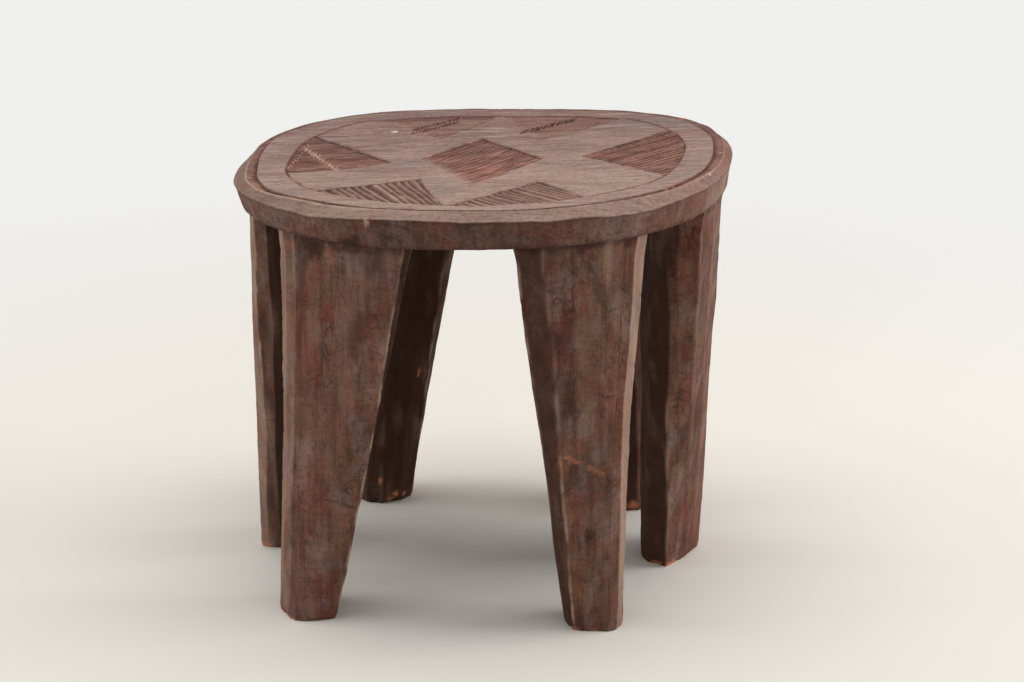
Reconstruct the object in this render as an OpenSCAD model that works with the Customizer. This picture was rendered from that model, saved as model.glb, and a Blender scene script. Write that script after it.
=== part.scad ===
// Carved wooden stool: a rounded seat with a carved top, standing on six faceted legs.
// Millimetres, +Z up. The origin lies on the floor, under the middle of the stool.
// Angles round the stool are azimuths: 0 is to the right, 90 is to the back, -90 is to the front.
// Heights written as depths are measured down from the seat's top face, square to it.

/* [Seat] */
// Half of the seat's width, from its middle to the outer edge at the sides
seat_half_w = 175.5; // [140:0.5:210]
// Half of the seat's depth, from its middle to the outer edge at the front and the back
seat_half_d = 163; // [130:0.5:200]
// Azimuth that the oval's long way is turned to, before it is brought to the width and depth
oval_turn = -17; // [-30:1:30]
// How far the outline swells at four corners, which makes the oval squarer
corner_swell = 6; // [0:0.5:9]
// Azimuth of one of the four corners
corner_at = 37.5; // [30:0.5:60]
// How far the outline swells at three places, as a hand-cut outline does
side_swell = 3.5; // [0:0.5:6]
// Azimuth of one of the three swellings
side_swell_at = 21; // [0:1:60]
// Height of the seat's top face above the floor, over the origin
seat_height = 298.7; // [240:0.1:380]
// Thickness of the seat
seat_thick = 25; // [22:0.5:40]
// Slope of the seat, which rises to the right
seat_slope = 2; // [0:0.5:4]

/* [Rim] */
// Depth of the sharp outer edge below the top face
edge_depth = 5; // [3:0.5:8]
// Distance from the outer edge in to the raised lip
lip_inset = 7.5; // [6:0.5:12]
// How far the lip's ring lies to the right of the edge's
lip_right = 2; // [0:0.5:3]
// How far the lip's ring lies behind the edge's
lip_back = 4.5; // [0:0.5:5]
// Depth of the lip below the top face
lip_depth = 0.8; // [0:0.1:1.5]
// Distance from the lip in to the bottom of the groove
groove_inset = 8.5; // [5:0.5:14]
// Depth of the groove below the top face
groove_depth = 2; // [1.2:0.1:5]
// Width of the groove's steep inner wall
groove_wall = 1.6; // [0.8:0.1:3]
// How far the seat's side leans in from the outer edge down to the underside
side_lean = 3; // [0:0.5:10]
// Size of the rounding where the side meets the underside
under_round = 2; // [1:0.5:6]

/* [Carved top] */
// Distance from the seat's outer edge in to the incised ring that frames the panels, at the sides
ring_inset_w = 36; // [32.5:0.5:65]
// Distance from the seat's outer edge in to the incised ring, at the front and the back
ring_inset_d = 31; // [28:0.5:58]
// How far the carving's middle lies to the right of the seat's middle
carving_right = 1.5; // [0:0.5:3]
// How far the carving's middle lies behind the seat's middle; below 0 it lies in front of it
carving_back = -1.5; // [-3:0.5:3]
// Width of the incised ring's V cut
ring_cut_w = 2; // [1:0.1:4]
// Depth of the incised ring's V cut
ring_cut_depth = 1.2; // [0.5:0.1:2.5]
// Depth of the sunk panels
panel_depth = 1.2; // [0.5:0.1:2.5]
// Width of the wood left between a panel's base and the incised ring
panel_land = 0.6; // [0.3:0.1:3]
// Distance from the middle to the lozenge's left corner
lozenge_left = 45; // [30:0.5:55]
// Distance from the middle to the lozenge's right corner
lozenge_right = 40.5; // [30:0.5:55]
// Distance from the middle to the lozenge's back corner
lozenge_back = 55.5; // [40:0.5:65]
// Distance from the middle to the lozenge's front corner
lozenge_front = 82.5; // [60:0.5:95]
// Distance from the middle to the left panel's point
left_point = 69.5; // [55:0.5:85]
// Distance from the middle to the right panel's point
right_point = 68; // [55:0.5:85]
// Distance from the middle to the front left panel's point
front_left_point = 73.5; // [60:0.5:90]
// Distance from the middle to the front right panel's point
front_right_point = 83; // [60:0.5:95]
// Distance from the middle to the back left panel's point
back_left_point = 67; // [55:0.5:85]
// Distance from the middle to the back right panel's point
back_right_point = 53.5; // [46:0.5:75]

/* [Legs] */
// Depth of a leg at its top, from the rim towards the middle
leg_top_d = 56; // [40:1:70]
// Width of a leg's foot along the rim
foot_w = 45; // [32:1:60]
// Depth of a leg's foot, from outside to inside
foot_d = 41; // [30:1:55]
// How far the leg's outer face stands in from the seat's lower edge
leg_inset = 0.2; // [0:0.1:6]

/* [Leg joints] */
// Diameter of the round tenon on a leg's top
tenon_d = 28; // [16:1:34]
// Height of the tenon
tenon_len = 13; // [8:0.5:16]
// Clearance between a tenon and its socket, on the diameter
tenon_fit = 0.4; // [0.1:0.1:1]
// Space left above the tenon in its socket
tenon_space = 1; // [0.5:0.5:2]

/* [Front left leg] */
// Azimuth of the middle of its top
front_left_top_at = -127; // [-135:1:-118]
// Width of its top, along the rim
front_left_top_w = 109; // [60:1:112]
// Azimuth of its foot
front_left_foot_at = -138.5; // [-145:0.5:-118]
// Distance of its foot's middle in from the outline that its top follows
front_left_foot_in = 11; // [0:0.5:36]
// Azimuth that the outer face of its foot looks to
front_left_foot_turn = -148; // [-175:1:-110]
// How late it widens on its way up: 1 is an even taper
front_left_flare = 0.85; // [0.8:0.05:1.5]

/* [Front right leg] */
// Azimuth of the middle of its top
front_right_top_at = -67.5; // [-74:0.5:-60]
// Width of its top, along the rim
front_right_top_w = 90; // [60:1:100]
// Azimuth of its foot
front_right_foot_at = -59; // [-72:0.5:-52]
// Distance of its foot's middle in from the outline that its top follows
front_right_foot_in = 22.5; // [10.5:0.5:47.5]
// Azimuth that the outer face of its foot looks to
front_right_foot_turn = -80; // [-110:1:-50]
// How late it widens on its way up: 1 is an even taper
front_right_flare = 1.3; // [0.8:0.05:1.5]

/* [Right leg] */
// Azimuth of the middle of its top
right_top_at = -2; // [-8:0.5:6]
// Width of its top, along the rim
right_top_w = 92; // [60:1:100]
// Azimuth of its foot
right_foot_at = -2.5; // [-10:0.5:8]
// Distance of its foot's middle in from the outline that its top follows
right_foot_in = 36; // [24:0.5:61]
// Azimuth that the outer face of its foot looks to
right_foot_turn = -30; // [-35:1:20]
// How late it widens on its way up: 1 is an even taper
right_flare = 1; // [0.8:0.05:1.5]

/* [Back right leg] */
// Azimuth of the middle of its top
back_right_top_at = 54; // [48:0.5:60]
// Width of its top, along the rim
back_right_top_w = 92; // [60:1:100]
// Azimuth of its foot
back_right_foot_at = 44; // [38:0.5:58]
// Distance of its foot's middle in from the outline that its top follows
back_right_foot_in = 23; // [11:0.5:48]
// Azimuth that the outer face of its foot looks to
back_right_foot_turn = 44; // [20:1:75]
// How late it widens on its way up: 1 is an even taper
back_right_flare = 1; // [0.8:0.05:1.5]

/* [Back left leg] */
// Azimuth of the middle of its top
back_left_top_at = 112; // [108:0.5:122]
// Width of its top, along the rim
back_left_top_w = 98; // [60:1:100]
// Azimuth of its foot
back_left_foot_at = 123.5; // [114:0.5:130]
// Distance of its foot's middle in from the outline that its top follows
back_left_foot_in = 35; // [23:0.5:60]
// Azimuth that the outer face of its foot looks to
back_left_foot_turn = 130; // [95:1:155]
// How late it widens on its way up: 1 is an even taper
back_left_flare = 1; // [0.8:0.05:1.5]

/* [Left leg] */
// Azimuth of the middle of its top
left_top_at = 178.5; // [172:0.5:184]
// Width of its top, along the rim
left_top_w = 92; // [60:1:100]
// Azimuth of its foot
left_foot_at = 170; // [164:0.5:184]
// Distance of its foot's middle in from the outline that its top follows
left_foot_in = 25; // [13:0.5:50]
// Azimuth that the outer face of its foot looks to
left_foot_turn = 175; // [150:1:200]
// How late it widens on its way up: 1 is an even taper
left_flare = 1.35; // [0.8:0.05:1.5]

/* [Hidden] */

seat_colour = "#8d7366";
leg_colour = "#5f4a41";
outline_steps = 96;
round_steps = 64;
leg_steps = 4;
// How far a cut runs on past the surface that it opens in
cut_over = 1;
// Share by which a panel's sides are drawn past its base, before they are cut to it
panel_reach = 1.4;

outline_step = 360 / outline_steps;
side_z = -seat_thick + under_round;
ring_half_w = seat_half_w - ring_inset_w;
ring_half_d = seat_half_d - ring_inset_d;
round_inset = side_lean + under_round;

// One section of a leg, from its outer face round: shares of its half-width and half-depth
LEG_SECTION = [
    [-0.8, 0.95], [-0.45, 1.02], [0, 1.05], [0.45, 1.02], [0.8, 0.95],
    [1, 0.6], [0.97, -0.2], [0.78, -0.75], [0.42, -1],
    [-0.42, -1], [-0.78, -0.75], [-0.97, -0.2], [-1, 0.6]
];
outer_points = 5;
sides = len(LEG_SECTION);

// The lozenge in the middle of the carving: distance and azimuth of each corner
LOZENGE = [
    [lozenge_left, -174.8], [lozenge_front, -98.7], [lozenge_right, -11.3], [lozenge_back, 92.9]
];

// Each panel round it: distance and azimuth of its point, and the azimuths of its base's two ends
PANELS = [
    [left_point, -175.1, 145.9, 195.3],
    [right_point, -5.7, -30.3, 25.6],
    [front_left_point, -127.3, -143.4, -101],
    [front_right_point, -64.8, -99.5, -60.8],
    [back_left_point, 122, 85.1, 121.5],
    [back_right_point, 46.9, 45.3, 85.6]
];

// Distance from the middle to the rough outline at an azimuth: a turned oval with its swellings
function rough_r(half_w, half_d, at) =
    1 / norm([cos(at - oval_turn) / half_w, sin(at - oval_turn) / half_d])
    + corner_swell * cos(4 * (at - corner_at)) + side_swell * cos(3 * (at - side_swell_at));

function rough_point(half_w, half_d, at) = rough_r(half_w, half_d, at) * [cos(at), sin(at)];

// Lowest and highest coordinate of the rough outline, along x with 0 or y with 1
function rough_span(half_w, half_d, k) =
    let (all = [for (i = [0 : outline_steps - 1]) rough_point(half_w, half_d, i * outline_step)[k]])
    [min(all), max(all)];

// What brings the rough outline to its width and depth: the middle to take off, and two factors
function outline_fit(half_w, half_d) =
    let (x = rough_span(half_w, half_d, 0), y = rough_span(half_w, half_d, 1))
    [
        [x[0] + x[1], y[0] + y[1]] / 2,
        [2 * half_w / (x[1] - x[0]), 2 * half_d / (y[1] - y[0])]
    ];

function fitted_point(half_w, half_d, fit, at) =
    let (p = rough_point(half_w, half_d, at) - fit[0])
    [p[0] * fit[1][0], p[1] * fit[1][1]];

// A point of the seat's outline, centred on the origin, at an azimuth
function outline_point(half_w, half_d, at) =
    fitted_point(half_w, half_d, outline_fit(half_w, half_d), at);

// The closed outline at one depth, moved by an offset, as a ring of points in space
function ring(half_w, half_d, z, offset = [0, 0]) =
    let (fit = outline_fit(half_w, half_d))
    [
        for (i = [0 : outline_steps - 1])
            let (p = fitted_point(half_w, half_d, fit, i * outline_step) + offset)
            [p[0], p[1], z]
    ];

// A ring of the rim's lip and groove
function lip_ring(inset, z) =
    ring(seat_half_w - inset, seat_half_d - inset, z, [lip_right, lip_back]);

// A line of the incised ring's V cut, at a distance outside its middle
function incised_ring(out, z) =
    ring(ring_half_w + out, ring_half_d + out, z, [carving_right, carving_back]);

// Height above the floor of a plane in the seat, at a depth below the top face
function plane_height(depth, x) = seat_height - depth / cos(seat_slope) + x * tan(seat_slope);

// Triangles between rings of equal count, closed by a flat fan at each end
function loft_faces(count, rings) = concat(
    [for (i = [1 : count - 2]) [0, i, i + 1]],
    [
        for (k = [0 : rings - 2], i = [0 : count - 1])
            [k * count + i, (k + 1) * count + i, (k + 1) * count + (i + 1) % count]
    ],
    [
        for (k = [0 : rings - 2], i = [0 : count - 1])
            [k * count + i, (k + 1) * count + (i + 1) % count, k * count + (i + 1) % count]
    ],
    [
        for (i = [1 : count - 2])
            let (top = (rings - 1) * count) [top, top + i + 1, top + i]
    ]
);

function join(lists) = [for (l = lists, p = l) p];

// Puts what is drawn in the plane of the seat at the seat's height and slope
module in_seat_plane() {
    translate([0, 0, seat_height]) rotate([0, -seat_slope, 0]) children();
}

// The seat's rings, from the underside up and over the rim to the incised ring
seat_rings = [
    ring(seat_half_w - round_inset, seat_half_d - round_inset, -seat_thick),
    ring(seat_half_w - side_lean, seat_half_d - side_lean, side_z),
    ring(seat_half_w, seat_half_d, -edge_depth),
    lip_ring(lip_inset, -lip_depth),
    lip_ring(lip_inset + groove_inset, -groove_depth),
    lip_ring(lip_inset + groove_inset + groove_wall, 0),
    incised_ring(ring_cut_w / 2, 0),
    incised_ring(0, -ring_cut_depth),
    incised_ring(-ring_cut_w / 2, 0)
];

module seat_body() {
    polyhedron(join(seat_rings), loft_faces(outline_steps, len(seat_rings)));
}

// A flat-bottomed cut with straight sides, down from the top face
module sunk(points) {
    translate([0, 0, -panel_depth]) linear_extrude(panel_depth + cut_over) polygon(points);
}

function polar(r, at) = r * [cos(at), sin(at)];

// Distance from the incised ring's middle in to the panels' bases
base_inset = ring_cut_w / 2 + panel_land;

// A point of the line that the panels' bases follow, just inside the incised ring
function base_point(at) = outline_point(ring_half_w - base_inset, ring_half_d - base_inset, at);

// A panel with its point towards the middle and its base along the incised ring
module ring_panel(panel) {
    point = polar(panel[0], panel[1]);
    intersection() {
        sunk([
            point,
            point + panel_reach * (base_point(panel[2]) - point),
            point + panel_reach * (base_point(panel[3]) - point)
        ]);
        sunk([for (p = ring(ring_half_w - base_inset, ring_half_d - base_inset, 0)) [p[0], p[1]]]);
    }
}

module carved_panels() {
    translate([carving_right, carving_back, 0]) {
        sunk([for (corner = LOZENGE) polar(corner[0], corner[1])]);
        for (panel = PANELS) ring_panel(panel);
    }
}

module seat() {
    color(seat_colour) in_seat_plane() difference() {
        seat_body();
        carved_panels();
        for (leg = LEGS) at_tenon(leg)
            cylinder(d = tenon_d + tenon_fit, h = cut_over + tenon_len + tenon_space, $fn = round_steps);
    }
}

// Each leg: azimuth and width of its top, azimuth, distance and turn of its foot, and its flare
LEGS = [
    [
        front_left_top_at, front_left_top_w, front_left_foot_at,
        front_left_foot_in, front_left_foot_turn, front_left_flare
    ],
    [
        front_right_top_at, front_right_top_w, front_right_foot_at,
        front_right_foot_in, front_right_foot_turn, front_right_flare
    ],
    [
        right_top_at, right_top_w, right_foot_at,
        right_foot_in, right_foot_turn, right_flare
    ],
    [
        back_right_top_at, back_right_top_w, back_right_foot_at,
        back_right_foot_in, back_right_foot_turn, back_right_flare
    ],
    [
        back_left_top_at, back_left_top_w, back_left_foot_at,
        back_left_foot_in, back_left_foot_turn, back_left_flare
    ],
    [
        left_top_at, left_top_w, left_foot_at,
        left_foot_in, left_foot_turn, left_flare
    ]
];

// Half-sizes of the outline that the legs' outer faces follow
leg_line_w = seat_half_w - round_inset - leg_inset;
leg_line_d = seat_half_d - round_inset - leg_inset;

// Distance of that outline from the stool's middle at an azimuth, such as the middle of a leg's top
function leg_line_r(at) = norm(outline_point(leg_line_w, leg_line_d, at));

// Axis of a leg's tenon, in the plane of the seat
function leg_axis(leg) = (leg_line_r(leg[0]) - leg_top_d / 2) * [cos(leg[0]), sin(leg[0])];

// A point of a leg's top: the outer ones lie on that outline, and the sides run in from it
function top_point(leg, k) =
    let (
        s = LEG_SECTION[k],
        outer = k < outer_points,
        share = outer ? s[0] / LEG_SECTION[outer_points - 1][0] : s[0],
        turn = asin(share * leg[1] / 2 / leg_line_r(leg[0])),
        p = outline_point(leg_line_w, leg_line_d, leg[0] + turn),
        inwards = outer ? 0 : leg_top_d / 2 * (1 - s[1])
    )
    p * (1 - inwards / norm(p));

// A point of a leg's foot
function foot_point(leg, k) =
    let (s = LEG_SECTION[k])
    (leg_line_r(leg[2]) - leg[3]) * [cos(leg[2]), sin(leg[2])]
    + turned([s[1] * foot_d / 2, s[0] * foot_w / 2], leg[4]);

// A point given outwards and along the rim, turned to an azimuth
function turned(p, at) = [p[0] * cos(at) - p[1] * sin(at), p[0] * sin(at) + p[1] * cos(at)];

// A ring of a leg at a share of its height, from 0 at the floor to 1 at the seat
function leg_ring(leg, share) = [
    for (k = [0 : sides - 1])
        let (
            spread = pow(share, leg[5]),
            p = foot_point(leg, k) * (1 - spread) + top_point(leg, k) * spread
        )
        [p[0], p[1], share * plane_height(seat_thick, p[0])]
];

// Puts what is drawn on the axis of a leg's tenon, starting just under the seat's underside
module at_tenon(leg) {
    translate([leg_axis(leg)[0], leg_axis(leg)[1], -seat_thick - cut_over]) children();
}

module leg(number) {
    one = LEGS[number];
    color(leg_colour) {
        polyhedron(
            join([for (k = [0 : leg_steps]) leg_ring(one, k / leg_steps)]),
            loft_faces(sides, leg_steps + 1)
        );
        in_seat_plane() at_tenon(one)
            cylinder(d = tenon_d, h = cut_over + tenon_len, $fn = round_steps);
    }
}

module leg_front_left() { leg(0); }
module leg_front_right() { leg(1); }
module leg_right() { leg(2); }
module leg_back_right() { leg(3); }
module leg_back_left() { leg(4); }
module leg_left() { leg(5); }

seat();
leg_front_left();
leg_front_right();
leg_right();
leg_back_right();
leg_back_left();
leg_left();
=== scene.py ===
"""Looks of the carved wooden stool: a seat with a carved top, on six faceted legs.

Sizes are in millimetres until a mesh is made. Points of the seat are first given in the plane of its top
face, with depths as negative heights, and are then set at the seat's height and slope.
Angles round the stool are azimuths in radians: 0 is to the right, a quarter turn is to the back.
"""
import math
from dataclasses import dataclass

import bpy
import numpy as np
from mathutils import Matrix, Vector
from mathutils.geometry import delaunay_2d_cdt


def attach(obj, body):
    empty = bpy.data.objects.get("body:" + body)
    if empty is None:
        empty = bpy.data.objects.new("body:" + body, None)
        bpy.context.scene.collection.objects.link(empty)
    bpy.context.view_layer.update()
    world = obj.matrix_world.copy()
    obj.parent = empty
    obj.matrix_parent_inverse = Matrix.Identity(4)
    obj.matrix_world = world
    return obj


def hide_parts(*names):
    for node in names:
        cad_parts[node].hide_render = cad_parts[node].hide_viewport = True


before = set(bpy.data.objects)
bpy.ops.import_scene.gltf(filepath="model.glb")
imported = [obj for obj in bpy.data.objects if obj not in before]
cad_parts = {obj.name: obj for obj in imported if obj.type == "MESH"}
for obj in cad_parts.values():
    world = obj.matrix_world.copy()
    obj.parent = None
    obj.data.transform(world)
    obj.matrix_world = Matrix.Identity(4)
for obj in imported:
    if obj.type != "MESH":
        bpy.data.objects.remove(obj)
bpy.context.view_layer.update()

MM = 0.001
TURN = 2 * math.pi

# Sizes of the seat
HALF_W = 175.5
HALF_D = 163.0
OVAL_TURN = math.radians(-17)
CORNER_SWELL = 6.0
CORNER_AT = math.radians(37.5)
SIDE_SWELL = 3.5
SIDE_SWELL_AT = math.radians(21)
SEAT_HEIGHT = 298.7
SEAT_THICK = 25.0
SEAT_SLOPE = math.radians(2)
LIP_INSET = 7.5
LIP_MOVE = (2.0, 4.5)
LIP_DEPTH = 0.8
GROOVE_INSET = 8.5
GROOVE_DEPTH = 2.0
GROOVE_WALL = 1.6
SIDE_LEAN = 3.0
UNDER_ROUND = 2.0

# Sizes of the carving
RING_HALF_W = 139.5
RING_HALF_D = 132.0
CARVING_MOVE = (1.5, -1.5)
RING_CUT_W = 2.0
RING_CUT_DEPTH = 1.2
# The cut along a panel's side: how far in it lies, half its width, and its depth
NOTCH_IN = 0.6
NOTCH_HALF_W = 0.65
NOTCH_DEPTH = 0.9

# How the hand-cut lines leave their true ones, as azimuths in degrees and millimetres.
# The incised ring, outwards:
RING_STRAY = (
    (-180, -1), (-172, 0), (-160, -1.5), (-150, -2.7), (-140, -4), (-132, -5.8), (-124, -4.2), (-116, -1.2),
    (-108, 0.5), (-100, 2.7), (-90, 4.8), (-82, 4.1), (-75, 3.1), (-68, 1.7), (-60, 0), (-46, 0), (-40, 1),
    (-32, 3.8), (-22, 2.6), (-10, 1.5), (0, 1.4), (15, 0), (38, 0), (60, -0.5), (110, -0.5), (118, 0.5),
    (126, 2), (133, 1), (139, -1), (144, -2.8), (168, -2.8),
)
# The platform's edge, outwards:
PLATFORM_STRAY = (
    (-180, 2.2), (-170, 3), (-160, 5), (-150, 7), (-140, 4), (-130, 4), (-120, 6), (-110, 7.5), (-100, 9.3),
    (-85, 10), (-72, 8.8), (-60, 6.3), (-48, 5.4), (-30, 4.4), (-20, 4.8), (-8, 2.8), (5, 2), (30, 2.5),
    (60, 1), (95, 0.5), (115, 2.5), (135, 3.4), (155, 3.4),
)
# The ledge's width, from the platform's edge to the lip:
LEDGE_W = (
    (-180, 7), (-168, 8.4), (-158, 7.5), (-150, 5), (-140, 2.6), (-128, 3.2), (-116, 2), (-90, 1.6),
    (-64, 1.8), (-52, 3.5), (-40, 5), (-28, 6.8), (-15, 8), (15, 7.5), (60, 8.5), (95, 9), (120, 7),
    (150, 6.5),
)
# The height of the outer edge, from the top face:
EDGE_Z = (
    (-180, -6.5), (-160, -5), (-150, -3.8), (-140, -4.1), (-134, -4.6), (-129, -5.9), (-124, -5), (-115, -4),
    (-107, -3.5), (-99, -4.5), (-89, -5), (-79, -5.3), (-75, -6), (-67, -4.8), (-62, -6.8), (-50, -7.6),
    (-44, -6.5), (-38, -5.6), (-25, -6.2), (-10, -6.5), (10, -5.5), (90, -5), (150, -5), (170, -6),
)
# How far the seat's lower edge lies above its underside:
EDGE_RISE = (
    (-180, 5.5), (-165, 5), (-150, 4.2), (-135, 3.2), (-122, 1.6), (-112, 0), (130, 0), (150, 3), (165, 5),
)

# About the seat's radius and a leg's height, on which noise and facets are laid out
SEAT_R = 165
LEG_H = 275

# Numbers of points
AROUND = 960
LEG_ROWS = 150

# The azimuths of the points round the seat, and the points themselves on a circle
AT = np.arange(AROUND) * TURN / AROUND
CIRCLE = np.stack([np.cos(AT), np.sin(AT)], axis=1)

# What the materials are told at each point: carved fields, dirt and painted shade, rubbed arrises and
# painted light, fresh wood, stains and painted shade on inward faces, the darker wood of the seat's side,
# and flecks of white
MARKS = ("cut", "dirt", "wear", "raw", "stain", "side", "fleck")


def smooth(low, high, value):
    """0 below low, 1 above high, and an even S between them."""
    t = np.clip((value - low) / (high - low), 0, 1)
    return t * t * (3 - 2 * t)


def arch(share):
    """0 at both ends of a span, and 1 half-way."""
    return 4 * share * (1 - share)


def between(start, end, share):
    return start * (1 - share) + end * share


def waves(seed, points, size, count=28):
    """Smooth noise, mostly between -1 and 1: plane waves about as long as size, in turned directions."""
    rng = np.random.default_rng(seed)
    points = np.asarray(points, float) / size
    turns = rng.normal(size=(points.shape[1], count))
    turns *= TURN / np.linalg.norm(turns, axis=0) / rng.uniform(0.6, 1.7, count)
    return np.sin(points @ turns + rng.uniform(0, TURN, count)).sum(axis=1) * math.sqrt(1 / count)


def rough_outline(half_w, half_d, at):
    """A turned oval with its swellings, before it is brought to the width and depth."""
    turned = at - OVAL_TURN
    r = 1 / np.hypot(np.cos(turned) / half_w, np.sin(turned) / half_d)
    r = r + CORNER_SWELL * np.cos(4 * (at - CORNER_AT)) + SIDE_SWELL * np.cos(3 * (at - SIDE_SWELL_AT))
    return np.stack([r * np.cos(at), r * np.sin(at)], axis=-1)


def outline(half_w, half_d, at, move=(0, 0)):
    """Points of the seat's outline at azimuths."""
    all_round = rough_outline(half_w, half_d, np.arange(96) * TURN / 96)
    low, high = all_round.min(axis=0), all_round.max(axis=0)
    scale = 2 * np.array([half_w, half_d]) / (high - low)
    return (rough_outline(half_w, half_d, np.asarray(at)) - (low + high) / 2) * scale + move


def by_azimuth(at, table, blur=4):
    """A value that a table gives at azimuths in degrees, carried smoothly from one to the next."""
    known_at, known = np.array(table, float).T
    offs = np.linspace(-blur, blur, 9)
    return np.mean([np.interp(np.degrees(at) + off, known_at, known, period=360) for off in offs], axis=0)


def bump(at, middle, reach):
    """1 at a middle azimuth, fading to 0 at a reach on both sides, in degrees."""
    off = np.abs((np.degrees(at) - middle + 180) % 360 - 180)
    return smooth(reach, 0, off)


def edge_line(inset, at):
    return outline(HALF_W - inset, HALF_D - inset, at)


def lip_line(inset, at):
    return outline(HALF_W - inset, HALF_D - inset, at, LIP_MOVE)


def seat_place(points):
    """Points of the seat's plane, set at its height and slope."""
    x, y, z = np.asarray(points).T
    c, s = math.cos(SEAT_SLOPE), math.sin(SEAT_SLOPE)
    return np.stack([x * c - z * s, y, SEAT_HEIGHT + x * s + z * c], axis=1)


def turn(points, at):
    c, s = math.cos(at), math.sin(at)
    x, y = np.asarray(points).T
    return np.stack([x * c - y * s, x * s + y * c], axis=-1)


def pairs(count):
    """Each number of a closed row, with the one that follows it."""
    return [(i, (i + 1) % count) for i in range(count)]


def add_object(name, data):
    made = bpy.data.objects.new(name, data)
    bpy.context.scene.collection.objects.link(made)
    return made


def make_piece(name, points, faces, marks, material, nodes, sharp=32):
    """A mesh piece on the frame, with its marks as attributes for the material.

    Edges that turn by more than sharp degrees stay sharp."""
    mesh = bpy.data.meshes.new(name)
    mesh.from_pydata((np.asarray(points) * MM).tolist(), [], faces)
    for mark, values in marks.items():
        attribute = mesh.attributes.new(mark, "FLOAT", "POINT")
        attribute.data.foreach_set("value", np.clip(values, 0, 1).astype(np.float32))
    mesh.materials.append(material)
    mesh.validate()
    mesh.shade_smooth()
    mesh.set_sharp_from_angle(angle=math.radians(sharp))
    piece = add_object(name, mesh)
    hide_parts(*nodes)
    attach(piece, "root")
    return piece


# The carved panels

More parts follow.
